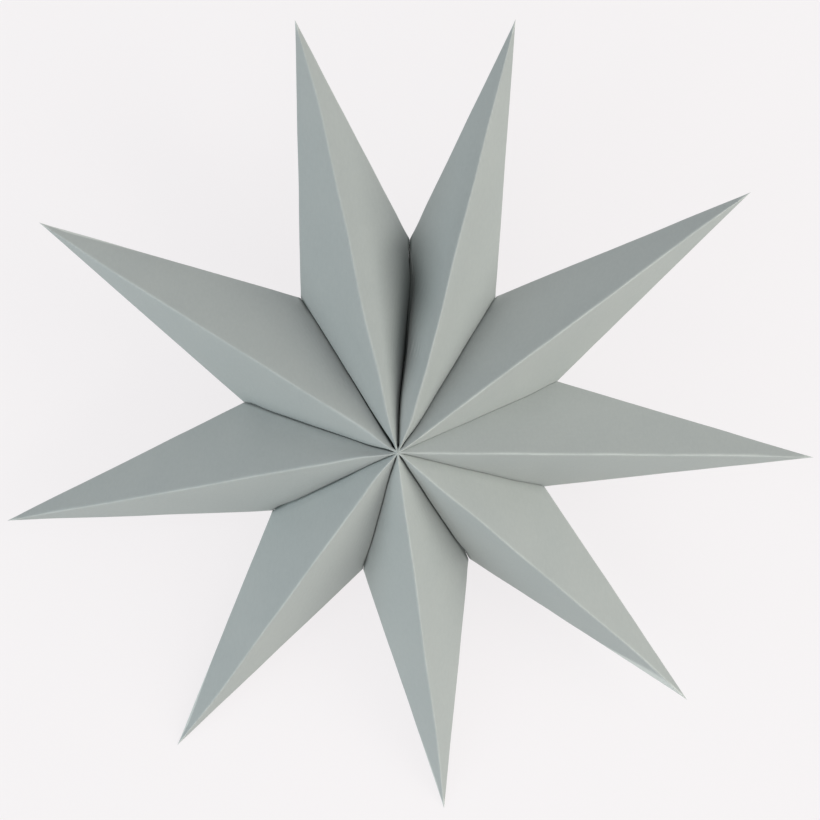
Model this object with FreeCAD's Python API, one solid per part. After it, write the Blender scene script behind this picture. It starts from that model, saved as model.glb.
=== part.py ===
import FreeCAD, Part
import math
import os

os.makedirs("parts", exist_ok=True)

# A hollow star of folded card. Nine points are folded one by one, each from its own sheet,
# and glued wall to wall round the star's axis. The ring is closed at one seam, where two
# adhesive pads hold the end walls together. The star lies on a table: it rests on its back
# apex and on the back ridges of two points, so its axis leans. Lengths are in millimetres
# and angles in degrees.

# Whole star
tip_radius = 150.0
half_depth = 42.0
notch_radius = 58.0

# Opening by hand: the share of the full turn before each point's tip, clockwise from the
# seam as seen from the front, and how far each tip stands beyond tip_radius
openings = [30.0, 40.5, 39.0, 40.0, 39.0, 40.0, 41.5, 44.0, 46.0]
tip_surplus = [1.0, 0.0, 0.5, 0.0, 0.5, 0.5, -0.5, -2.0, -0.5]

# Seam: its notch lies further out, and off the middle towards the first point
seam_azimuth = 87.7
seam_notch_radius = 67.0
seam_share = 0.43
seam_gap = 1.0

# Card, its glue flap along the back ridge, and the free edges of the walls at the axis
card_thickness = 0.3
flap_width = 8.0
flap_end_gap = 14.0
core_radius = 2.5

# Adhesive pads in the seam
pad_length = 12.0
pad_height = 12.0
inner_pad_radius = 16.0
outer_pad_radius = 44.0

# The two points that the star rests on, with its back apex
resting_points = (5, 6)

point_count = len(openings)
front_apex = FreeCAD.Vector(0, 0, half_depth)
back_apex = FreeCAD.Vector(0, 0, -half_depth)
block_size = 4 * tip_radius


def around(radius, azimuth):
    """A place in the star's middle plane."""
    angle = math.radians(azimuth)
    return FreeCAD.Vector(radius * math.cos(angle), radius * math.sin(angle), 0)


def tip_azimuths():
    """Direction of each tip, with the openings sharing out the full turn."""
    turn = 360.0 / sum(openings)
    azimuth = seam_azimuth - seam_share * openings[0] * turn
    found = [azimuth]
    for opening in openings[1:]:
        azimuth -= opening * turn
        found.append(azimuth)
    return found


def notch_before(number, azimuths):
    """Corner where a point meets the one before it, with the seam before the first point."""
    if number % point_count == 0:
        return around(seam_notch_radius, seam_azimuth)
    azimuth = (azimuths[number - 1] + azimuths[number]) / 2
    return around(notch_radius, azimuth)


def block_inside(corners, inner, inset):
    """Block on the inner side of the plane through three corners, set in by inset."""
    first, second, third = corners
    normal = (second - first).cross(third - first)
    normal.normalize()
    if normal.dot(inner - first) < 0:
        normal = normal * -1
    block = Part.makeBox(block_size, block_size, block_size,
                         FreeCAD.Vector(-block_size / 2, -block_size / 2, 0))
    turn = FreeCAD.Rotation(FreeCAD.Vector(0, 0, 1), normal)
    return block.transformed(FreeCAD.Placement(first + normal * inset, turn).toMatrix(), True)


def common_of(blocks):
    """The solid that all the blocks share."""
    shared = blocks[0]
    for block in blocks[1:]:
        shared = shared.common(block)
    return shared.Solids[0]


def folded_form(tip, before, after, wall_insets, inset):
    """Closed form between a point's folds, with every face set in by inset."""
    inner = (tip + before + after) * 0.25
    faces = [
        ((front_apex, tip, before), inset),
        ((front_apex, tip, after), inset),
        ((back_apex, tip, before), inset),
        ((back_apex, tip, after), inset),
        ((front_apex, back_apex, before), inset + wall_insets[0]),
        ((front_apex, back_apex, after), inset + wall_insets[1]),
    ]
    return common_of([block_inside(corners, inner, depth) for corners, depth in faces])


def flap_space(tip, after, before):
    """Strip along the inside of the back ridge, one card thick, where the flap is glued."""
    ridge = tip - back_apex
    along = FreeCAD.Vector(ridge)
    along.normalize()
    facet_normal = ridge.cross(after - back_apex)
    facet_normal.normalize()
    across = facet_normal.cross(along)
    if across.dot(after - back_apex) < 0:
        across = across * -1
    if facet_normal.dot(before - back_apex) < 0:
        facet_normal = facet_normal * -1
    length = ridge.Length - 2 * flap_end_gap
    start = back_apex + along * flap_end_gap + facet_normal * card_thickness
    corners = [
        start - across * flap_width,
        start + along * length - across * flap_width,
        start + along * length + across * flap_width,
        start + across * flap_width,
    ]
    outline = Part.Face(Part.makePolygon(corners + [corners[0]]))
    return outline.extrude(facet_normal * card_thickness)


def core_space():
    """Space round the axis that the free edges of the walls leave open, under the facets."""
    valley_fall = half_depth * core_radius / notch_radius
    reach = half_depth - valley_fall - 2 * card_thickness
    return Part.makeCylinder(core_radius, 2 * reach, FreeCAD.Vector(0, 0, -reach))


def folded_point(number, azimuths):
    """One point: its facets, its two side walls and its glued flap, as one folded sheet."""
    tip = around(tip_radius + tip_surplus[number], azimuths[number])
    before = notch_before(number, azimuths)
    after = notch_before(number + 1, azimuths)
    wall_insets = [0.0, 0.0]
    if number == 0:
        wall_insets[0] = seam_gap / 2
    if number == point_count - 1:
        wall_insets[1] = seam_gap / 2
    outside = folded_form(tip, before, after, wall_insets, 0.0)
    inside = folded_form(tip, before, after, wall_insets, card_thickness)
    hollow = inside.cut(flap_space(tip, after, before))
    sheet = outside.cut(hollow).cut(core_space())
    return sheet.removeSplitter()


def closing_pad(radius):
    """Adhesive pad between the two walls of the seam, centred on the middle plane."""
    pad = Part.makeBox(pad_length, seam_gap, pad_height,
                       FreeCAD.Vector(radius - pad_length / 2, -seam_gap / 2, -pad_height / 2))
    pad.rotate(FreeCAD.Vector(0, 0, 0), FreeCAD.Vector(0, 0, 1), seam_azimuth)
    return pad


def build_star():
    """Every piece by name, in the star's own frame."""
    azimuths = tip_azimuths()
    pieces = {}
    for number in range(point_count):
        pieces["point_%d" % (number + 1)] = folded_point(number, azimuths)
    pieces["inner_closing_pad"] = closing_pad(inner_pad_radius)
    pieces["outer_closing_pad"] = closing_pad(outer_pad_radius)
    return pieces


def at_rest(azimuths):
    """Placement that lays the star down: table at z = 0, origin under the middle of its box."""
    first, second = [number - 1 for number in resting_points]
    along_first = around(tip_radius + tip_surplus[first], azimuths[first]) - back_apex
    along_second = around(tip_radius + tip_surplus[second], azimuths[second]) - back_apex
    table_normal = along_second.cross(along_first)
    table_normal.normalize()
    lean = FreeCAD.Rotation(table_normal, FreeCAD.Vector(0, 0, 1))
    corners = [front_apex, back_apex]
    for number, azimuth in enumerate(azimuths):
        corners.append(around(tip_radius + tip_surplus[number], azimuth))
    corners = [lean.multVec(corner) for corner in corners]
    middle_x = (min(c.x for c in corners) + max(c.x for c in corners)) / 2
    middle_y = (min(c.y for c in corners) + max(c.y for c in corners)) / 2
    lowest = min(c.z for c in corners)
    return FreeCAD.Placement(FreeCAD.Vector(-middle_x, -middle_y, -lowest), lean)


laid_down = at_rest(tip_azimuths()).toMatrix()
for name, piece in build_star().items():
    piece.transformed(laid_down, True).exportStep("parts/%s.step" % name)
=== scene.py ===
import math

import bmesh
import bpy
from bpy.props import FloatProperty, FloatVectorProperty, IntProperty, PointerProperty
from mathutils import Matrix, Vector


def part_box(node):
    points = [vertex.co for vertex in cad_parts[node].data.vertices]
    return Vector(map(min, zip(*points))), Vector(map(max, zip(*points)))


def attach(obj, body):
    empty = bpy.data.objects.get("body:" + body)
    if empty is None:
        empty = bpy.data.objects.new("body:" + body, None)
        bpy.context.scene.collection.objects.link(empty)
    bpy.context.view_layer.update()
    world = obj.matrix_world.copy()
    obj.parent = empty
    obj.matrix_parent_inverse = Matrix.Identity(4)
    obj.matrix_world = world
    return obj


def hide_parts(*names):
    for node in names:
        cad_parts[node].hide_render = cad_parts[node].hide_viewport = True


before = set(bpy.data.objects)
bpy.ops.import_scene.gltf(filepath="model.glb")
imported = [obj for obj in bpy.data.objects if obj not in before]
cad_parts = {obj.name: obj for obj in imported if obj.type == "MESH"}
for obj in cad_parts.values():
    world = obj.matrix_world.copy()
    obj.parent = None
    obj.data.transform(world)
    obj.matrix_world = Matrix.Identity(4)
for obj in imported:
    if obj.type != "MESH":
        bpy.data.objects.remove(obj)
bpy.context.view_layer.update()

bl_info = {
    "name": "Folded card star",
    "version": (1, 0, 0),
    "blender": (4, 5, 0),
    "location": "3D View > Sidebar > Folded star",
    "description": "Makes a hollow nine-pointed star of folded card, lying on a table",
    "category": "Object",
}

# Lengths are in metres and angles in radians, unless a comment says otherwise.
MILLIMETRE = 0.001

# How the star was folded and opened by hand: the share of the full turn before each tip,
# clockwise from the seam, and how far each tip stands beyond the tip radius, in millimetres.
OPENINGS = (30.0, 40.5, 39.0, 40.0, 39.0, 40.0, 41.5, 44.0, 46.0)
TIP_SURPLUS = (1.0, 0.0, 0.5, 0.0, 0.5, 0.5, -0.5, -2.0, -0.5)
RESTING_POINTS = (5, 6)
POINT_COUNT = len(OPENINGS)

# Small errors of the hand work, in millimetres along the table's x and y: where each notch
# really lies (the seam notch first), how far the sheet before it is glued off its corner,
# where each tip lies, and how far the front apex lies off the star's axis.
NOTCH_OFF = (
    (0.1, 0.4), (0.4, -0.5), (0.3, 0.7), (-0.4, 0.3), (-0.2, 0.5),
    (-0.2, 0.4), (-0.1, -0.2), (0.3, -0.3), (-0.8, -0.2),
)
GLUED_OFF = (
    (0.0, 0.0), (-0.3, -0.5), (0.0, 0.1), (0.1, 0.0), (0.1, 0.1),
    (0.0, 0.1), (0.0, 0.0), (0.1, 0.0), (0.0, 0.2),
)
TIP_OFF = (
    (0.05, 0.0), (0.0, 0.4), (-0.06, 0.0), (0.0, -0.3), (0.0, 0.0),
    (0.0, 0.0), (0.0, 0.0), (-0.5, 0.4), (0.45, 0.6),
)
APEX_OFF = (-0.62, -0.60)

# How far each front valley bows towards the sheet before it, in millimetres, the seam first:
# near its notch, half way in and near the apex.
VALLEY_BOWS = (
    (-1.37, -0.45, 0.40), (-0.07, -0.36, -0.94), (-0.54, -0.32, -0.14),
    (-0.54, -0.32, -0.18), (-0.58, -0.58, -0.32), (0.33, 0.09, -0.32),
    (0.61, 0.52, 0.0), (0.72, 0.86, 0.90), (-0.18, 0.07, 0.25),
)
# How far each front ridge bows clockwise, in millimetres: near the apex, at a third and at
# half of its length, and near the tip.
BOW_PLACES = ("Bow at apex", "Bow at third", "Bow at half", "Bow at tip")
RIDGE_BOWS = (
    (1.7, 1.6, 0.95, 0.45), (0.0, 0.0, 0.0, -0.3), (0.0, 0.0, -0.1, -0.3),
    (-0.2, -0.5, -0.7, -0.95), (0.0, -0.25, -0.2, -0.65), (0.75, 0.4, -0.2, -0.8),
    (0.85, 0.4, 0.1, 0.0), (0.9, 0.25, -0.2, -0.65), (-0.1, -0.4, 0.65, 1.2),
)
# How much of each ridge's fold is worn light, and the width in millimetres of the light strip
# along the outer fold after that ridge, near the tip.
RIDGE_WEAR = (0.55, 0.9, 1.0, 0.75, 0.7, 0.68, 0.72, 0.68, 0.55)
EDGE_STRIPS = (0.0, 0.0, 0.5, 4.2, 1.0, 1.3, 0.0, 1.0, 0.0)

# How far from each valley the card starts to bend down into it, in millimetres: first on the
# side of the point before the notch, then on the side of the point after it. The seam is
# first. The second table is the same close to the star's axis.
VALLEY_BENDS = (
    (15.0, 12.0), (2.5, 16.0), (0.4, 0.4), (2.6, 2.6), (7.0, 10.0),
    (10.0, 8.0), (2.5, 14.0), (0.8, 7.0), (16.0, 1.5),
)
CENTRE_BENDS = (
    (15.0, 0.8), (2.5, 8.0), (0.4, 0.4), (2.6, 2.6), (7.0, 8.5),
    (6.0, 8.0), (2.5, 11.0), (2.5, 6.0), (2.5, 1.5),
)
# How steeply the card bends down there.
VALLEY_STEEPNESS = (0.85, 0.32, 0.28, 0.28, 0.28, 0.28, 0.28, 0.28, 0.26)
# Width that stays open between the folds at each valley, in millimetres, the seam first, and
# the opening close to the star's axis.
VALLEY_GAPS = (1.0, 0.16, 0.0, 0.04, 0.45, 0.3, 0.2, 0.1, 0.5)
CENTRE_GAPS = (0.95, 0.38, 0.02, 0.12, 0.65, 0.5, 0.4, 0.6, 0.95)
# How much shade is painted on the walls inside each gap, the seam first, the same close to the
# axis, and how much shade is painted on the crease next to each notch.
INSIDE_SHADES = (0.88, 0.1, 0.0, 0.0, 0.3, 0.15, 0.05, 0.0, 0.75)
CENTRE_SHADES = (0.2, 0.0, 0.0, 0.0, 0.15, 0.0, 0.0, 0.3, 0.8)
NOTCH_SHADES = (0.97, 0.6, 0.0, 0.15, 0.8, 0.8, 0.6, 0.3, 0.8)
# How much painted shade the seam puts on the card beside it, near its notch, half way in and
# near the apex: on the side of the last point, then on the side of the first.
SEAM_SHADES = ((0.78, 0.66, 0.0), (0.68, 0.0, 0.0))
# Share of its height that a valley may be bent down by, and share of its gap that is left at
# the notch: at the seam, then elsewhere.
DEEPEST = (0.4, 0.7)
SHARES_AT_NOTCH = (0.03, 0.5)

# Inputs that a point has once for each of its two sides. The wall of a side takes the last
# two groups.
SIDES = ("before", "after")
BEND_NUMBERS = ("Bend", "Centre bend", "Steepness", "Deepest")
WALL_VECTORS = ("Notch", "Bow", "Crevice")
WALL_NUMBERS = (
    "Set back", "Centre set back", "Share at notch", "Inner pad", "Outer pad",
    "Inside shade", "Centre inside shade", "Notch shade",
)

# Limits of the mesh: points closer than this are one, edges sharper than this stay sharp, the
# card is at least so thick at a tip, and it stays so far above the table.
WELD_DISTANCE = 2e-7
SHARP_ANGLE = 0.75
THINNEST = 0.00003
CLEARANCE = 0.00002

SKY_BRIGHTNESS = 0.78
BACKDROP_BRIGHTNESS = 0.86
# Name, place, power in watts and colour of each soft box.
SOFT_BOXES = (
    ("right_softbox", (1.35, -0.1, 0.92), 15.0, (1.0, 1.0, 0.91)),
    ("left_softbox", (-1.26, -0.42, 0.75), 8.2, (0.81, 0.99, 1.05)),
    ("low_softbox", (0.0, -1.6, 1.1), 7.5, (1.0, 0.96, 0.89)),
    ("top_softbox", (0.6, 1.5, 1.1), 1.5, (0.9, 1.0, 1.1)),
)
# The camera stands a metre from this place, with its tilt, azimuth and roll in degrees.
CAMERA_TARGET = Vector((0.00022, 0.00649, 0.040))
CAMERA_ANGLES = (4.02, -145.4, -0.17)
CAMERA_LENS = 120.9


def length(label, about, default):
    """A length among the settings."""
    return FloatProperty(name=label, description=about, default=default, unit="LENGTH", precision=5)


def colour(label, about, default):
    """A colour among the settings."""
    return FloatVectorProperty(name=label, description=about, default=default, subtype="COLOR",
                               min=0.0, max=1.0)


class FoldedStarSizes(bpy.types.PropertyGroup):
    """Sizes of the star and of its folds."""

    tip_radius: length("Tip radius", "Distance of a tip from the star's axis", 0.150)
    half_depth: length("Half depth", "Height of each apex over the star's middle plane", 0.042)
    notch_radius: length("Notch radius", "Distance of a notch from the star's axis", 0.058)
    seam_notch_radius: length(
        "Seam notch radius", "Distance of the notch at the closing seam", 0.067)
    seam_azimuth: FloatProperty(
        name="Seam direction", description="Direction of the closing seam in the middle plane",
        default=math.radians(87.7), unit="ROTATION")
    seam_share: FloatProperty(
        name="Seam share", description="Part of the first opening on the first point's side",
        default=0.43, subtype="FACTOR")
    card_thickness: length("Card thickness", "Thickness of the folded card", 0.0003)
    core_radius: length("Core radius", "Space that the walls leave open round the axis", 0.0025)
    ridge_reach: length("Ridge softness", "How far the rounding of a ridge fold reaches", 0.0015)
    edge_reach: length("Edge softness", "How far the rounding of an outer fold reaches", 0.0004)
    valley_reach: length("Valley softness", "How far the rounding of a valley fold reaches", 0.0004)
    ripple_height: length("Ripple height", "How far the card's surface waves in and out", 0.0005)
    ripple_length: length("Ripple length", "Distance between the waves of the card", 0.030)
    rows: IntProperty(
        name="Rows", description="Rows of faces across each facet", default=32, min=8)
    ripple_seed: IntProperty(
        name="Ripple seed", description="Fixed seed of the ripples", default=7)
    pad_length: length("Pad length", "Length and height of a closing pad", 0.012)
    inner_pad_radius: length(
        "Inner pad radius", "Distance of the inner closing pad from the axis", 0.016)
    outer_pad_radius: length(
        "Outer pad radius", "Distance of the outer closing pad from the axis", 0.044)


class FoldedStarColours(bpy.types.PropertyGroup):
    """Colours of the star, of its pads and of the table."""

    card: colour("Card", "Colour of the card", (0.405, 0.430, 0.421))
    card_flecks: colour(
        "Card clouding", "Colour of the card's faint clouding", (0.371, 0.400, 0.398))
    worn_fold: colour(
        "Worn fold", "Colour of the card's core, bared on sharp folds", (0.60, 0.63, 0.61))
    # Painted shade: the seam, the valleys' gaps and the notches are painted towards this dark
    # colour
    seam_shade: colour(
        "Seam shade", "Colour of the card deep in the open seam", (0.062, 0.078, 0.073))
    pad: colour("Adhesive pad", "Colour of the closing pads", (0.80, 0.80, 0.78))
    table: colour("Table", "Colour of the table", (0.12, 0.1165, 0.118))
    table_glow: FloatProperty(
        name="Table glow", description="Light that the white table adds from below",
        default=0.787, min=0.0)


# Places in the star


def around(radius, azimuth):
    """A place in the star's middle plane."""
    return Vector((radius * math.cos(azimuth), radius * math.sin(azimuth), 0.0))


def tip_azimuths(sizes):
    """Direction of each tip, with the openings sharing out the full turn."""
    turn = 2 * math.pi / sum(OPENINGS)
    azimuth = sizes.seam_azimuth - sizes.seam_share * OPENINGS[0] * turn
    found = [azimuth]
    for opening in OPENINGS[1:]:
        azimuth -= opening * turn
        found.append(azimuth)
    return found


def star_corners(sizes):
    """Apexes, tips and notches of the star as it lies on the table."""
    azimuths = tip_azimuths(sizes)
    tips = [around(sizes.tip_radius + surplus * MILLIMETRE, azimuth)
            for surplus, azimuth in zip(TIP_SURPLUS, azimuths)]
    notches = [around(sizes.seam_notch_radius, sizes.seam_azimuth)]
    for before, after in zip(azimuths, azimuths[1:]):
        notches.append(around(sizes.notch_radius, (before + after) / 2))
    front = Vector((0.0, 0.0, sizes.half_depth))
    back = Vector((0.0, 0.0, -sizes.half_depth))
    first, second = [tips[number - 1] - back for number in RESTING_POINTS]
    lean = second.cross(first).normalized().rotation_difference(Vector((0.0, 0.0, 1.0)))
    laid = [lean @ corner for corner in [front, back] + tips]
    low = [min(corner[axis] for corner in laid) for axis in range(3)]
    high = [max(corner[axis] for corner in laid) for axis in range(3)]
    shift = Vector((-(low[0] + high[0]) / 2, -(low[1] + high[1]) / 2, -low[2]))
    return {
        "front": lean @ front + shift,
        "back": lean @ back + shift,
        "middle": shift,
        "tips": [lean @ tip + shift for tip in tips],
        "notches": [lean @ notch + shift for notch in notches],
        "lean": lean,
    }


def check_against_frame(corners):
    """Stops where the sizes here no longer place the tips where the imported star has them."""
    for number, tip in enumerate(corners["tips"]):
        low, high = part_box("point_%d" % (number + 1))
        for axis in range(3):
            if not low[axis] - MILLIMETRE < tip[axis] < high[axis] + MILLIMETRE:
                raise RuntimeError("point_%d has its tip outside its packed box" % (number + 1))


def moved(place, off):
    """The place, moved in the table's plane by a pair of millimetres."""
    return place + Vector((off[0] * MILLIMETRE, off[1] * MILLIMETRE, 0.0))


# Sums in node trees


class Value:
    """A number or a vector that a node puts out, on which sums are written plainly."""

    def __init__(self, tree, socket):
        self.tree = tree
        self.socket = socket
        self.is_vector = socket.type in ("VECTOR", "RGBA")

    def combine(self, operation, *items):
        """What comes of one sum on numbers, or on vectors when this value is one."""
        kind = "ShaderNodeVectorMath" if self.is_vector else "ShaderNodeMath"
        node = add_node(self.tree, kind, operation=operation)
        for socket, item in zip(node.inputs, items):
            feed(self.tree, socket, item)
        gives_number = not self.is_vector or operation in ("DOT_PRODUCT", "LENGTH")
        return Value(self.tree, node.outputs["Value" if gives_number else "Vector"])

    def __add__(self, other):
        return self.combine("ADD", self, other)

    def __sub__(self, other):
        return self.combine("SUBTRACT", self, other)

    def __rsub__(self, other):
        return self.combine("SUBTRACT", other, self)

    def __mul__(self, other):
        if not self.is_vector:
            return self.combine("MULTIPLY", self, other)
        return outcome(self.tree, "ShaderNodeVectorMath", {0: self, "Scale": other},
                       operation="SCALE")

    def __neg__(self):
        return self * -1.0

    def __truediv__(self, other):
        return self.combine("DIVIDE", self, other)

    def __rtruediv__(self, other):
        return self.combine("DIVIDE", other, self)

    def __pow__(self, other):
        return self.combine("POWER", self, other)

    def __abs__(self):
        return self.combine("ABSOLUTE", self)

    def __gt__(self, other):
        return self.combine("GREATER_THAN", self, other)

    def __lt__(self, other):
        return self.combine("LESS_THAN", self, other)

    def sign(self):
        return self.combine("SIGN", self)

    def dot(self, other):
        return self.combine("DOT_PRODUCT", self, other)

    def cross(self, other):
        return self.combine("CROSS_PRODUCT", self, other)

    def length(self):
        return self.combine("LENGTH", self)

    def unit(self):
        return self.combine("NORMALIZE", self)


def feed(tree, socket, value):
    """Links a socket to the value, or sets the value on the socket."""
    if isinstance(value, Value):
        value = value.socket
    if isinstance(value, bpy.types.NodeSocket):
        tree.links.new(value, socket)
    else:
        socket.default_value = value


def add_node(tree, kind, values=None, **settings):
    """A node of that kind, with its settings and the values of its inputs."""
    node = tree.nodes.new(kind)
    for name, value in settings.items():
        setattr(node, name, value)
    for name, value in (values or {}).items():
        feed(tree, node.inputs[name], value)
    return node


def outcome(tree, kind, values=None, output=0, **settings):
    """What a new node of that kind puts out."""
    return Value(tree, add_node(tree, kind, values, **settings).outputs[output])


def new_group(name, inputs, outputs, kind="GeometryNodeTree"):
    """A node group with the named inputs and outputs of each kind, and its inputs as values."""
    tree = bpy.data.node_groups.new(name, kind)
    for in_out, sockets in (("INPUT", inputs), ("OUTPUT", outputs)):
        for socket_kind, labels in sockets.items():
            for label in labels:
                tree.interface.new_socket(
                    label, in_out=in_out, socket_type="NodeSocket" + socket_kind)
    entry = add_node(tree, "NodeGroupInput")
    return tree, {socket.name: Value(tree, socket) for socket in entry.outputs if socket.name}


def put_out(tree, values):
    """Ends a node group with its outputs."""
    add_node(tree, "NodeGroupOutput", values)
    return tree


def use(tree, group, values):
    """What a node group puts out when it is placed in a tree with its own values."""
    kind = "ShaderNodeGroup" if group.bl_idname == "ShaderNodeTree" else "GeometryNodeGroup"
    node = add_node(tree, kind, values, node_tree=group)
    return {socket.name: Value(tree, socket) for socket in node.outputs}


def least(first, second):
    """The smaller of two numbers, one of which may be plain."""
    value = first if isinstance(first, Value) else second
    return value.combine("MINIMUM", first, second)


def most(first, second):
    """The larger of two numbers, one of which may be plain."""
    value = first if isinstance(first, Value) else second
    return value.combine("MAXIMUM", first, second)


def ramp(value, start, end, smooth=True):
    """A rise from 0 to 1 as the value goes from start to end."""
    return outcome(value.tree, "ShaderNodeMapRange", {
        "Value": value, "From Min": start, "From Max": end},
        interpolation_type="SMOOTHSTEP" if smooth else "LINEAR")


def mixed(factor, first, second, kind="FLOAT"):
    """Two numbers, vectors or colours mixed by a factor."""
    socket, output = {"FLOAT": (2, 0), "VECTOR": (4, 1), "RGBA": (6, 2)}[kind]
    return outcome(factor.tree, "ShaderNodeMix", {
        "Factor": factor, socket: first, socket + 1: second}, output, data_type=kind)


def packed(tree, parts):
    """A vector of three numbers."""
    return outcome(tree, "ShaderNodeCombineXYZ", dict(zip("XYZ", parts)))


def here(tree):
    """The place of each point of the mesh."""
    return outcome(tree, "GeometryNodeInputPosition")


def facet_normal(start, end, corner, inner):
    """Normal of the plane through three corners, pointing away from the inner corner."""
    unit = (end - start).cross(corner - start).unit()
    return unit * -unit.dot(inner - start).sign()


def crowded(share, power):
    """Spreads a share of 0 to 1 so that rows stand close at both ends."""
    centred = share * 2.0 - 1.0
    bent = 1.0 - (1.0 - abs(centred)) ** power
    return centred.sign() * bent * 0.5 + 0.5


# Node groups of the card


def facet_tree():
    """Node group: one triangle of card as rows of faces that fan out from one corner."""
    tree, given = new_group("Card facet", {
        "Vector": ("Pole", "Left", "Right"), "Int": ("Rows along", "Rows across"),
        "Float": ("Crowd both ends",)}, {"Geometry": ("Facet",)})
    grid = outcome(tree, "GeometryNodeMeshGrid", {
        "Size X": 1.0, "Size Y": 1.0, "Vertices X": given["Rows along"] + 1.0,
        "Vertices Y": given["Rows across"] + 1.0})
    place = add_node(tree, "ShaderNodeSeparateXYZ", {"Vector": here(tree)}).outputs
    along = Value(tree, place["X"]) + 0.5
    across = crowded(Value(tree, place["Y"]) + 0.5, 2.0)
    one_end = 1.0 - (1.0 - along) ** 1.6
    along = mixed(given["Crowd both ends"], one_end, crowded(along, 2.0))
    spoke = mixed(across, given["Left"], given["Right"], "VECTOR") - given["Pole"]
    laid = outcome(tree, "GeometryNodeSetPosition",
                   {"Geometry": grid, "Position": given["Pole"] + spoke * along})
    return put_out(tree, {"Facet": laid})


def fold_tree():
    """Node group: how far rounding one fold moves the card, and how near the fold is."""
    tree, given = new_group("Rounded fold", {
        "Vector": ("Start", "End", "First corner", "Second corner"), "Float": ("Reach",)},
        {"Vector": ("Offset",), "Float": ("Nearness",)})
    start, end, reach = given["Start"], given["End"], given["Reach"]
    corner, other_corner = given["First corner"], given["Second corner"]
    first = facet_normal(start, end, corner, other_corner)
    second = facet_normal(start, end, other_corner, corner)
    away = here(tree) - start
    depth = abs(away.dot(first)) + abs(away.dot(second))
    near = most(1.0 - depth / reach, 0.0)
    middle = first + second
    # The middle direction, longer by one over the cosine of half the turn between the facets
    middle = middle * (2.0 / middle.dot(middle))
    return put_out(tree, {"Offset": middle * (reach / -6.0 * near ** 3.0), "Nearness": near})


def valley_tree():
    """Node group: how far the card beside a valley bends down along the wall it is folded to."""
    tree, given = new_group("Bent valley", {
        "Vector": ("Apex", "Other apex", "Notch", "Tip"),
        "Float": ("Reach", "Steepness", "Deepest")}, {"Vector": ("Offset",)})
    apex, other, notch, tip = [given[name] for name in ("Apex", "Other apex", "Notch", "Tip")]
    facet = facet_normal(apex, notch, tip, other)
    wall = facet_normal(apex, other, notch, tip)
    place = here(tree)
    away = place - apex
    drop = given["Reach"] * given["Steepness"]
    # Down the wall the bend reaches so far that the wall can't fold over itself
    wall_reach = most(given["Reach"], drop * 3.6)
    near = 1.0 - (abs(away.dot(wall)) / given["Reach"] + abs(away.dot(facet)) / wall_reach)
    down = (other - apex).unit()
    height = ((apex + other) * 0.5 - place).dot(down)
    limit = most(height, 0.0) * given["Deepest"]
    return put_out(tree, {"Offset": down * (least(drop, limit) * most(near, 0.0) ** 3.0)})


def knot_tree():
    """Node group: the small soft knot in which the ridges meet at an apex."""
    tree, given = new_group("Apex knot", {"Vector": ("Apex", "Other apex")},
                            {"Vector": ("Offset",)})
    place = here(tree)
    up = (given["Apex"] - given["Other apex"]).unit()
    away = place - given["Apex"]
    height = away.dot(up)
    radius = away.cross(up).length()
    near = ramp(radius, 0.0022, 0.0007) * (abs(height) < 0.01)
    lumps = outcome(tree, "ShaderNodeTexNoise", {"Vector": place, "Scale": 700.0, "Detail": 1.0})
    wanted = radius * -0.5 + lumps * 0.0006 - 0.00045
    return put_out(tree, {"Offset": up * ((wanted - height) * near)})


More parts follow.
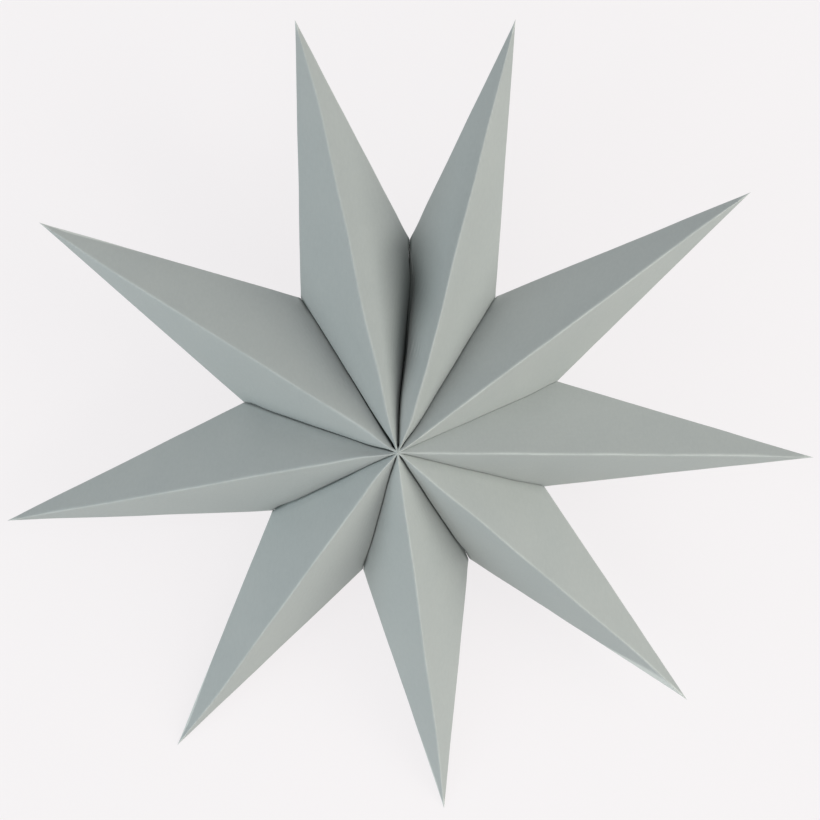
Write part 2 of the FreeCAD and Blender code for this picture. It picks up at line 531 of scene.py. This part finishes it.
def wall_tree():
    """Node group: how far a side wall and the card beside it stand back from the next sheet.

    The walls stand apart at their folds and belly towards each other below them. Pads, where
    there are any, hold them apart. It also puts out how much shade is painted on the card there.
    """
    tree, given = new_group("Wall set back", {
        "Vector": ("Front apex", "Back apex", "Tip") + WALL_VECTORS, "Float": WALL_NUMBERS},
        {"Vector": ("Offset",), "Float": ("Crevice",)})
    front, back, notch, tip = [
        given[name] for name in ("Front apex", "Back apex", "Notch", "Tip")]
    outwards = facet_normal(front, back, notch, tip)
    axis = (front - back).unit()
    place = here(tree)
    away = place - front
    depth = abs(away.dot(outwards))
    from_axis = away.cross(axis).length()
    from_notch = (place - notch).length()
    from_fold = least(*[abs((place - apex).dot(facet_normal(apex, notch, tip, other)))
                        for apex, other in ((front, back), (back, front))])
    rise = (place - (front + back) * 0.5).dot(axis)

    # The open gap, which the wall closes below its folds unless a pad holds it
    near = most(1.0 - depth / 0.006, 0.0) ** 2.0
    share = given["Share at notch"]
    at_notch = ramp(from_notch, 0.0008, 0.008) * (1.0 - share) + share
    belly = ramp(from_fold, 0.0002, least(0.0026, from_notch * 0.14 + 0.0005))
    apart = 0.0
    for pad in (given["Inner pad"], given["Outer pad"]):
        held = ramp(most(abs(from_axis - pad), abs(rise)), 0.0076, 0.0062)
        apart = most(apart, held * (pad > 0.0))
    left = 1.0 - belly * ((1.0 - apart) * 0.95)
    wide = mixed(ramp(from_axis, 0.004, 0.017), given["Centre set back"], given["Set back"])
    size = near * ramp(from_axis, 0.0012, 0.0022) * (left * at_notch) * -wide

    # The bow of the front valley, which dies out down the wall and across the facet
    inwards = 1.0 - from_axis / (notch - back).cross(axis).length()
    steps = [ramp(inwards, start, end)
             for start, end in ((0.0, 0.22), (0.22, 0.5), (0.5, 0.8), (0.8, 1.0))]
    parts = [rising * (1.0 - falling) for rising, falling in zip(steps, steps[1:])]
    fold_height = most(inwards, 0.002) * ((front - back).length() * 0.5)
    up = ramp(rise / fold_height, 0.45, 0.9)
    width = least(0.014, from_axis * 0.5 + 0.001)
    bow = given["Bow"].dot(packed(tree, parts)) * (up * ramp(depth, width, 0.0))

    # Painted shade on the card: a little beside the open seam, more inside a gap and at a notch
    fade = least(0.012, from_axis * 0.19 + 0.0002)
    beside = most((1.0 - depth / fade) * ramp(inwards, -0.13, 0.05), 0.0)
    parts = [(steps[0] * 0.3 + 0.7) * (1.0 - steps[1]), steps[1] * (1.0 - steps[2]), steps[2]]
    beside = beside * given["Crevice"].dot(packed(tree, parts))
    shade = mixed(ramp(from_axis, 0.010, 0.034), given["Centre inside shade"],
                  given["Inside shade"])
    inside = ramp(depth, 0.0006, 0.0002) * ramp(from_fold, 0.0001, 0.0007) * shade
    corner = ramp(depth, given["Set back"] * 1.8 + 0.0005, 0.0) * ramp(from_notch, 0.010, 0.002)
    crevice_painted_shade = most(beside, most(inside, corner * given["Notch shade"]))
    return put_out(tree, {"Offset": outwards * (size + bow), "Crevice": crevice_painted_shade})


def ridge_bow_tree():
    """Node group: how far a front ridge and the card beside it bow sideways."""
    tree, given = new_group("Bowed ridge", {
        "Vector": ("Front apex", "Back apex", "Tip"), "Float": BOW_PLACES},
        {"Vector": ("Offset",)})
    front, back = given["Front apex"], given["Back apex"]
    axis = (front - back).unit()
    to_tip = given["Tip"] - back
    clockwise = to_tip.cross(axis).unit()
    away = here(tree) - back
    from_axis = away.cross(axis).length()
    reach = to_tip.cross(axis).length()
    steps = [ramp(from_axis / reach, start, end)
             for start, end in ((0.0, 0.1), (0.1, 0.3), (0.3, 0.55), (0.55, 0.8), (0.8, 1.0))]
    bows = [rising * (1.0 - falling) * given[name]
            for name, rising, falling in zip(BOW_PLACES, steps, steps[1:])]
    width = least(from_axis * 0.3, (reach - from_axis) * 0.2)
    beside = ramp(abs(away.dot(clockwise)), most(width, 0.0001), 0.0)
    in_front = away.dot(axis) > (front - back).length() * 0.5
    return put_out(tree, {"Offset": clockwise * (sum(bows[1:], bows[0]) * (beside * in_front))})


def joined(tree, parts):
    """One geometry of all the parts."""
    node = add_node(tree, "GeometryNodeJoinGeometry")
    for part in parts:
        feed(tree, node.inputs[0], part)
    return node.outputs[0]


def welded(tree, geometry):
    """The geometry with the points that coincide merged."""
    return outcome(tree, "GeometryNodeMergeByDistance",
                   {"Geometry": geometry, "Distance": WELD_DISTANCE})


def both_sides(names):
    """Each name, once for each side of a point."""
    return tuple(name + " " + side for name in names for side in SIDES)


def point_tree():
    """Node tree of one folded point: facets, walls, soft folds, ripples and thickness."""
    facet, fold, valley, wall = facet_tree(), fold_tree(), valley_tree(), wall_tree()
    knot, ridge_bow = knot_tree(), ridge_bow_tree()
    tree, given = new_group("Folded card point", {
        "Geometry": ("Geometry",),
        "Vector": ("Front apex", "Back apex", "Tip") + both_sides(WALL_VECTORS),
        "Float": ("Card thickness", "Core radius", "Ridge reach", "Edge reach", "Valley reach",
                  "Ripple height", "Ripple length", "Ridge wear", "Edge strip")
        + BOW_PLACES + both_sides(BEND_NUMBERS + WALL_NUMBERS),
        "Int": ("Rows", "Seed"), "Material": ("Material",)}, {"Geometry": ("Geometry",)})
    front, back, tip = given["Front apex"], given["Back apex"], given["Tip"]
    before, after = given["Notch before"], given["Notch after"]
    apexes = ((front, back), (back, front))
    ends = {"Front apex": front, "Back apex": back, "Tip": tip}
    place = here(tree)

    def facet_of(pole, left, right, both_ends):
        rows_along = given["Rows"] if both_ends else given["Rows"] * 1.125
        return use(tree, facet, {
            "Pole": pole, "Left": left, "Right": right, "Rows along": rows_along,
            "Rows across": given["Rows"], "Crowd both ends": float(both_ends)})["Facet"]

    facets = [facet_of(tip, before, front, False), facet_of(tip, front, after, False),
              facet_of(tip, back, before, False), facet_of(tip, after, back, False)]
    walls = joined(tree, [facet_of(before, back, front, True), facet_of(after, front, back, True)])
    from_axis = (place - back).cross((front - back).unit()).length()
    walls = outcome(tree, "GeometryNodeDeleteGeometry", {
        "Geometry": walls, "Selection": from_axis < given["Core radius"]}, domain="FACE")
    sheet = welded(tree, joined(tree, facets + [walls]))
    from_tip = (place - tip).length()
    from_notch = least((place - before).length(), (place - after).length())

    # No rounding and no bend reaches further than a share of the card's width at that place
    def within(reach, share):
        return least(reach, least(from_axis * share, from_tip * 0.07) + 0.00012)

    def fold_of(start, end, first, second, reach):
        return use(tree, fold, {"Start": start, "End": end, "First corner": first,
                                "Second corner": second, "Reach": reach})

    ridge = within(given["Ridge reach"], 0.12)
    edge = within(least(given["Edge reach"], from_notch * 0.12 + 0.0001), 1.0)
    ridges = [fold_of(apex, tip, before, after, ridge) for apex in (front, back)]
    edges = [fold_of(notch, tip, front, back, edge) for notch in (before, after)]
    walls = []
    valleys = []
    valley_reach = least(given["Valley reach"], from_notch * 0.15 + 0.0002)
    valley_reach = valley_reach * most(ramp(from_axis, 0.0010, 0.0028), 0.03)
    for side in SIDES:
        wall_values = {name: given[name + " " + side] for name in WALL_VECTORS + WALL_NUMBERS}
        walls.append(use(tree, wall, {**wall_values, **ends}))
        notch = given["Notch " + side]
        # A valley that hardly bends is also folded sharper
        reach = valley_reach * least(given["Bend " + side] / 0.0015, 1.0)
        bend = mixed(ramp(from_axis, 0.016, 0.042), given["Centre bend " + side],
                     given["Bend " + side])
        for apex, other in apexes:
            valleys.append(fold_of(apex, notch, tip, other, within(reach, 0.12)))
            valleys.append(use(tree, valley, {
                "Apex": apex, "Other apex": other, "Notch": notch, "Tip": tip,
                "Reach": within(bend, 0.33), "Steepness": given["Steepness " + side],
                "Deepest": given["Deepest " + side]}))
    knots = [use(tree, knot, {"Apex": apex, "Other apex": other}) for apex, other in apexes]
    bowed = use(tree, ridge_bow, {**{name: given[name] for name in BOW_PLACES}, **ends})

    # Ripples are a function of the place alone, so glued walls ripple together
    def ripple(span, height):
        noise = outcome(tree, "ShaderNodeTexNoise", {
            "Vector": place, "W": given["Seed"], "Scale": 1.0 / span, "Detail": 1.0},
            "Color", noise_dimensions="4D")
        return (noise - (0.5, 0.5, 0.5)) * height

    moves = [item["Offset"] for item in ridges + edges + valleys + walls + knots + [bowed]]
    moves.append(ripple(given["Ripple length"], given["Ripple height"]))
    moves.append(ripple(given["Ripple length"] * 0.3, given["Ripple height"] * 0.28))

    worn = most(ridges[0]["Nearness"], ridges[1]["Nearness"]) * given["Ridge wear"]
    strip = given["Edge strip"] * (ramp(from_tip, 0.046, 0.014) * ramp(from_tip, 0.0, 0.01))
    strip = fold_of(after, tip, front, back, most(strip, 0.00001))["Nearness"]
    # The first three attributes mark worn card; the last carries the painted shade of the seam, the
    # gaps and the notches
    for name, value in (("ridge_fold", worn),
                        ("edge_fold", most(edges[0]["Nearness"], edges[1]["Nearness"])),
                        ("edge_strip", ramp(strip, 0.0, 0.3)),
                        ("crevice_painted_shade", most(walls[0]["Crevice"], walls[1]["Crevice"]))):
        sheet = outcome(tree, "GeometryNodeStoreNamedAttribute",
                        {"Geometry": sheet, "Name": name, "Value": value},
                        data_type="FLOAT", domain="POINT")
    kept = add_node(tree, "GeometryNodeCaptureAttribute", {"Geometry": sheet}, domain="POINT")
    kept.capture_items.new("FLOAT", "Thickness")
    feed(tree, kept.inputs["Thickness"],
         least(given["Card thickness"], from_tip * 0.09 + THINNEST))
    shaped = outcome(tree, "GeometryNodeSetPosition", {
        "Geometry": kept.outputs["Geometry"], "Offset": sum(moves[1:], moves[0])})

    # The table holds up whatever would ripple below it
    above = add_node(tree, "ShaderNodeSeparateXYZ", {"Vector": place}).outputs
    height = most(Value(tree, above["Z"]), CLEARANCE)
    shaped = outcome(tree, "GeometryNodeSetPosition", {
        "Geometry": shaped, "Position": packed(tree, (above["X"], above["Y"], height))})

    # Thickness: the inner face is the outer one set in along its normals
    facing = add_node(tree, "GeometryNodeCaptureAttribute", {"Geometry": shaped}, domain="POINT")
    facing.capture_items.new("VECTOR", "Normal")
    feed(tree, facing.inputs["Normal"], outcome(tree, "GeometryNodeInputNormal"))
    outer = facing.outputs["Geometry"]
    grown = add_node(tree, "GeometryNodeExtrudeMesh",
                     {"Mesh": outer, "Offset Scale": 0.0, "Individual": False}, mode="FACES")
    inwards = Value(tree, facing.outputs["Normal"]) * -Value(tree, kept.outputs["Thickness"])
    inner = outcome(tree, "GeometryNodeSetPosition", {
        "Geometry": grown.outputs["Mesh"], "Selection": grown.outputs["Top"], "Offset": inwards})
    inner = outcome(tree, "GeometryNodeFlipFaces", {"Mesh": inner})
    shell = welded(tree, joined(tree, [outer, inner]))
    angle = outcome(tree, "GeometryNodeInputMeshEdgeAngle", output="Unsigned Angle")
    shell = outcome(tree, "GeometryNodeSetShadeSmooth", {
        "Geometry": shell, "Selection": angle > SHARP_ANGLE, "Shade Smooth": False}, domain="EDGE")
    shell = outcome(tree, "GeometryNodeSetMaterial",
                    {"Geometry": shell, "Material": given["Material"]})
    shell = outcome(tree, "GeometryNodeRealizeInstances", {"Geometry": shell})
    return put_out(tree, {"Geometry": shell})


def grow_from_tree(name, tree, values):
    """A plain mesh object that the node tree makes from the given values."""
    piece = bpy.data.objects.new(name, bpy.data.meshes.new(name + "_start"))
    bpy.context.scene.collection.objects.link(piece)
    modifier = piece.modifiers.new("Folding", "NODES")
    modifier.node_group = tree
    for item in tree.interface.items_tree:
        if item.in_out == "INPUT" and item.name in values:
            modifier[item.identifier] = values[item.name]
    evaluated = piece.evaluated_get(bpy.context.evaluated_depsgraph_get())
    made = bpy.data.meshes.new_from_object(evaluated)
    piece.modifiers.clear()
    start = piece.data
    piece.data = made
    made.name = name
    bpy.data.meshes.remove(start)
    if not made.polygons:
        raise RuntimeError(name + " came out empty")
    return piece


def hand_over(piece, body, node):
    """Tells the frame what the piece rides on and what it replaces."""
    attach(piece, body)
    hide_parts(node)


# Materials


def noise(tree, place, scale, detail, roughness=0.5):
    """Noise between 0 and 1 round each place."""
    return outcome(tree, "ShaderNodeTexNoise", {
        "Vector": place, "Scale": scale, "Detail": detail, "Roughness": roughness})


def grain_group():
    """Shader group: fine fibres and broad clouding, as masks and a height."""
    tree, given = new_group("Fibre grain", {
        "Vector": ("Vector",),
        "Float": ("Grains per metre", "Clouds per metre", "Fibre stretch")},
        {"Float": ("Clouding", "Fibres", "Height")}, "ShaderNodeTree")
    place, grains = given["Vector"], given["Grains per metre"]
    clouds = noise(tree, place, given["Clouds per metre"], 4.0, 0.55)
    stretch = packed(tree, (1.0, given["Fibre stretch"], 0.7))
    fibres = noise(tree, place.combine("MULTIPLY", place, stretch), grains, 6.0, 0.62)
    pits = noise(tree, place, grains * 2.1, 3.0)
    return put_out(tree, {
        "Clouding": ramp(clouds, 0.3, 0.7, False), "Fibres": ramp(fibres, 0.32, 0.68, False),
        "Height": fibres * 0.7 + pits * 0.3})


def wear_group():
    """Shader group: a broken light line where a fold has bared the core of the card."""
    tree, given = new_group("Fold wear", {
        "Vector": ("Vector",), "Float": ("Nearness", "Start")}, {"Float": ("Wear",)},
        "ShaderNodeTree")
    patch = ramp(noise(tree, given["Vector"], 55.0, 5.0, 0.6), 0.30, 0.62, False)
    return put_out(tree, {"Wear": ramp(given["Nearness"], given["Start"], 1.0) * patch})


def group_once(name, make):
    """The shader group of that name, made the first time it is asked for."""
    return bpy.data.node_groups.get(name) or make()


def bare_material(name, roughness):
    """A material with its tree, the sockets of its shader and the place of each point."""
    material = bpy.data.materials.new(name)
    material.use_nodes = True
    tree = material.node_tree
    shader = tree.nodes["Principled BSDF"].inputs
    shader["Roughness"].default_value = roughness
    return material, tree, shader, outcome(tree, "ShaderNodeTexCoord", output="Object")


def grain_at(tree, place, grains, clouds, stretch):
    """The fibre grain, at a number of grains and of clouds per metre."""
    return use(tree, group_once("Fibre grain", grain_group), {
        "Vector": place, "Grains per metre": grains, "Clouds per metre": clouds,
        "Fibre stretch": stretch})


def painted(factor, first, second):
    """A colour or a plain triple, mixed with a plain triple by a factor."""
    first = first if isinstance(first, Value) else (*first, 1.0)
    return mixed(factor, first, (*second, 1.0), "RGBA")


def bumped(tree, height, strength, distance):
    """A normal bent by a height."""
    return outcome(tree, "ShaderNodeBump", {
        "Strength": strength, "Distance": distance, "Height": height})


def card_material(colours):
    """Uncoated grey card: clouded, fibrous, matt, with worn folds and painted shade in its seam,
    gaps and notches.
    """
    material, tree, shader, place = bare_material("folded_card", 0.9)
    shader["Specular IOR Level"].default_value = 0.25
    wear = group_once("Fold wear", wear_group)
    masks = {name: outcome(tree, "ShaderNodeAttribute", output="Fac", attribute_name=name)
             for name in ("ridge_fold", "edge_fold", "edge_strip", "crevice_painted_shade")}
    worn = [use(tree, wear, {"Vector": place, "Nearness": masks[name], "Start": start})["Wear"]
            for name, start in (("ridge_fold", 0.1), ("edge_fold", 0.3))]
    fibre = grain_at(tree, place, 1100.0, 34.0, 0.4)
    base = painted(fibre["Clouding"] * 0.5, colours.card, colours.card_flecks)
    base = painted(fibre["Fibres"] * 0.10, base, colours.worn_fold)
    base = painted(most(*worn) * 0.46, base, colours.worn_fold)
    base = painted(masks["edge_strip"], base, colours.worn_fold)
    # Painted shade: the seam, the gaps and the notches are darkened towards the seam shade colour
    base = painted(masks["crevice_painted_shade"], base, colours.seam_shade)
    feed(tree, shader["Base Color"], base)
    feed(tree, shader["Roughness"], fibre["Fibres"] * 0.12 + 0.8)
    feed(tree, shader["Normal"], bumped(tree, fibre["Height"], 0.5, 0.00006))
    return material


def pad_material(colours):
    """Closed-cell foam of an adhesive pad."""
    material, tree, shader, place = bare_material("foam_pad", 0.75)
    fibre = grain_at(tree, place, 1500.0, 90.0, 1.0)
    cells = outcome(tree, "ShaderNodeTexVoronoi", {"Vector": place, "Scale": 2600.0})
    shade = [part * 0.82 for part in colours.pad]
    feed(tree, shader["Base Color"], painted(fibre["Clouding"] * 0.5, colours.pad, shade))
    feed(tree, shader["Normal"], bumped(tree, cells, 0.6, 0.0001))
    return material


def table_material(colours):
    """Plain pale table, barely mottled, with a glow that keeps it as light as a backdrop."""
    material, tree, shader, place = bare_material("pale_table", 0.85)
    shader["Specular IOR Level"].default_value = 0.2
    fibre = grain_at(tree, place, 400.0, 8.0, 1.0)
    shade = [part * 0.985 for part in colours.table]
    feed(tree, shader["Base Color"], painted(fibre["Clouding"], colours.table, shade))
    shader["Emission Color"].default_value = (1.0, 0.975, 0.985, 1.0)
    shader["Emission Strength"].default_value = colours.table_glow
    return material


# Operators


class STAR_OT_card_points(bpy.types.Operator):
    """Fold the nine points of card and glue them into a ring"""

    bl_idname = "folded_star.card_points"
    bl_label = "Fold card points"

    def execute(self, context):
        sizes = context.scene.folded_star_sizes
        corners = star_corners(sizes)
        check_against_frame(corners)
        tree = point_tree()
        shared = {
            "Front apex": moved(corners["front"], APEX_OFF),
            "Back apex": corners["back"],
            "Card thickness": sizes.card_thickness,
            "Core radius": sizes.core_radius,
            "Ridge reach": sizes.ridge_reach,
            "Edge reach": sizes.edge_reach,
            "Valley reach": sizes.valley_reach,
            "Ripple height": sizes.ripple_height,
            "Ripple length": sizes.ripple_length,
            "Rows": sizes.rows,
            "Seed": sizes.ripple_seed,
            "Material": card_material(context.scene.folded_star_colours),
        }
        for index in range(POINT_COUNT):
            later = (index + 1) % POINT_COUNT
            glued = moved(moved(corners["notches"][later], NOTCH_OFF[later]), GLUED_OFF[later])
            name = "point_%d" % (index + 1)
            piece = grow_from_tree("card_" + name, tree, {
                **shared,
                **self.side_values(sizes, index, "before"),
                **self.side_values(sizes, later, "after"),
                **{place: bow * MILLIMETRE for place, bow in zip(BOW_PLACES, RIDGE_BOWS[index])},
                "Tip": moved(corners["tips"][index], TIP_OFF[index]),
                "Notch before": moved(corners["notches"][index], NOTCH_OFF[index]),
                "Notch after": glued,
                "Ridge wear": RIDGE_WEAR[index],
                "Edge strip": EDGE_STRIPS[index] * MILLIMETRE,
            })
            hand_over(piece, "root", name)
        return {"FINISHED"}

    def side_values(self, sizes, valley, side):
        """What a point does at the valley on one of its sides."""
        glued = int(valley != 0)
        column = 1 if side == "before" else 0
        values = {
            "Bend": VALLEY_BENDS[valley][column] * MILLIMETRE,
            "Centre bend": CENTRE_BENDS[valley][column] * MILLIMETRE,
            "Steepness": VALLEY_STEEPNESS[valley],
            "Deepest": DEEPEST[glued],
            "Set back": VALLEY_GAPS[valley] * MILLIMETRE / 2,
            "Centre set back": CENTRE_GAPS[valley] * MILLIMETRE / 2,
            "Share at notch": SHARES_AT_NOTCH[glued],
            "Crevice": Vector() if glued else Vector(SEAM_SHADES[column]),
            "Inside shade": INSIDE_SHADES[valley],
            "Centre inside shade": CENTRE_SHADES[valley],
            "Notch shade": NOTCH_SHADES[valley],
            "Inner pad": 0.0 if glued else sizes.inner_pad_radius,
            "Outer pad": 0.0 if glued else sizes.outer_pad_radius,
            "Bow": Vector(VALLEY_BOWS[valley]) * (MILLIMETRE if column else -MILLIMETRE),
        }
        return {name + " " + side: value for name, value in values.items()}


class STAR_OT_closing_pads(bpy.types.Operator):
    """Set the two adhesive pads into the seam"""

    bl_idname = "folded_star.closing_pads"
    bl_label = "Set closing pads"

    def execute(self, context):
        sizes = context.scene.folded_star_sizes
        material = pad_material(context.scene.folded_star_colours)
        corners = star_corners(sizes)
        for name, radius in (("inner_closing_pad", sizes.inner_pad_radius),
                             ("outer_closing_pad", sizes.outer_pad_radius)):
            piece = self.foam_block(name, sizes, corners, radius)
            piece.data.materials.append(material)
            hand_over(piece, "root", name)
        return {"FINISHED"}

    def foam_block(self, name, sizes, corners, radius):
        """A cut block of foam with pressed faces, soft edges and sides that bulge a little."""
        thickness = VALLEY_GAPS[0] * MILLIMETRE
        made = bmesh.new()
        bmesh.ops.create_cube(made, size=1.0)
        bmesh.ops.subdivide_edges(made, edges=made.edges[:], cuts=11, use_grid_fill=True)
        half = sizes.pad_length * 0.46
        for vert in made.verts:
            x, y, z = vert.co * 2.0
            waist = 1.0 - 0.035 * abs(y) ** 3
            side = half * waist * (1.0 - 0.03 * (x * z) ** 6)
            vert.co = Vector((x * side, y * thickness / 2, z * side))
        turn = Matrix.Rotation(sizes.seam_azimuth, 4, "Z")
        place = Matrix.Translation(around(radius, sizes.seam_azimuth))
        laid = Matrix.Translation(corners["middle"]) @ corners["lean"].to_matrix().to_4x4()
        made.transform(laid @ place @ turn)
        mesh = bpy.data.meshes.new("foam_" + name)
        made.to_mesh(mesh)
        made.free()
        mesh.shade_smooth()
        piece = bpy.data.objects.new("foam_" + name, mesh)
        bpy.context.scene.collection.objects.link(piece)
        return piece


class STAR_OT_stage(bpy.types.Operator):
    """Lay out the pale table, the soft light and the camera"""

    bl_idname = "folded_star.stage"
    bl_label = "Set stage"

    def execute(self, context):
        self.lay_table(table_material(context.scene.folded_star_colours))
        self.light_sky(context.scene)
        for name, place, power, tint in SOFT_BOXES:
            self.add_light(name, place, power, tint)
        self.place_camera(context.scene)
        context.scene.view_settings.view_transform = "Standard"
        return {"FINISHED"}

    def lay_table(self, material):
        """A large table top with the star in its middle."""
        made = bmesh.new()
        bmesh.ops.create_grid(made, x_segments=8, y_segments=8, size=4.0)
        mesh = bpy.data.meshes.new("table_top")
        made.to_mesh(mesh)
        made.free()
        mesh.materials.append(material)
        table = bpy.data.objects.new("table_top", mesh)
        bpy.context.scene.collection.objects.link(table)

    def light_sky(self, scene):
        """Light from above, which fades towards the horizon, behind a plain pale backdrop."""
        world = bpy.data.worlds.new("soft_studio")
        world.use_nodes = True
        scene.world = world
        tree = world.node_tree
        look = outcome(tree, "ShaderNodeTexCoord", output="Generated")
        height = outcome(tree, "ShaderNodeSeparateXYZ", {"Vector": look}, "Z")
        seen = outcome(tree, "ShaderNodeLightPath", output="Is Camera Ray")
        strength = most(height, 0.0) * SKY_BRIGHTNESS + 0.01
        background = tree.nodes["Background"].inputs
        feed(tree, background["Strength"], most(strength, seen * BACKDROP_BRIGHTNESS))
        feed(tree, background["Color"], (1.0, 0.985, 0.99, 1.0))

    def add_light(self, name, place, power, tint):
        """A square soft box that faces the star."""
        light = bpy.data.lights.new(name, "AREA")
        light.size = 1.1
        light.energy = power
        light.color = tint
        lamp = bpy.data.objects.new(name, light)
        lamp.location = place
        lamp.rotation_euler = Vector(place).to_track_quat("Z", "Y").to_euler()
        bpy.context.scene.collection.objects.link(lamp)

    def place_camera(self, scene):
        """Nearly straight above the table, from a little towards the lower left."""
        lens = bpy.data.cameras.new("camera")
        lens.sensor_width = 36.0
        lens.lens = CAMERA_LENS
        tilt, azimuth, roll = [math.radians(angle) for angle in CAMERA_ANGLES]
        backwards = Vector((math.sin(tilt) * math.cos(azimuth),
                            math.sin(tilt) * math.sin(azimuth), math.cos(tilt)))
        right = Vector((0.0, 1.0, 0.0)).cross(backwards).normalized()
        upwards = backwards.cross(right)
        turned = right * math.cos(roll) + upwards * math.sin(roll)
        upwards = upwards * math.cos(roll) - right * math.sin(roll)
        turn = Matrix((turned, upwards, backwards)).transposed().to_4x4()
        camera = bpy.data.objects.new("camera", lens)
        camera.matrix_world = Matrix.Translation(CAMERA_TARGET + backwards) @ turn
        scene.collection.objects.link(camera)
        scene.camera = camera


class STAR_PT_panel(bpy.types.Panel):
    """Steps and settings of the folded card star"""

    bl_idname = "STAR_PT_panel"
    bl_label = "Folded card star"
    bl_space_type = "VIEW_3D"
    bl_region_type = "UI"
    bl_category = "Folded star"

    def draw(self, context):
        for step in STEPS:
            self.layout.operator(step.bl_idname)
        for group in (context.scene.folded_star_sizes, context.scene.folded_star_colours):
            column = self.layout.column()
            for name in group.__annotations__:
                column.prop(group, name)


STEPS = (STAR_OT_card_points, STAR_OT_closing_pads, STAR_OT_stage)
CLASSES = (FoldedStarSizes, FoldedStarColours) + STEPS + (STAR_PT_panel,)


def register():
    for item in CLASSES:
        bpy.utils.register_class(item)
    bpy.types.Scene.folded_star_sizes = PointerProperty(type=FoldedStarSizes)
    bpy.types.Scene.folded_star_colours = PointerProperty(type=FoldedStarColours)


def unregister():
    del bpy.types.Scene.folded_star_colours
    del bpy.types.Scene.folded_star_sizes
    for item in reversed(CLASSES):
        bpy.utils.unregister_class(item)


def main():
    register()
    bpy.ops.folded_star.card_points()
    bpy.ops.folded_star.closing_pads()
    bpy.ops.folded_star.stage()
    bpy.context.view_layer.update()


if __name__ == "__main__":
    main()
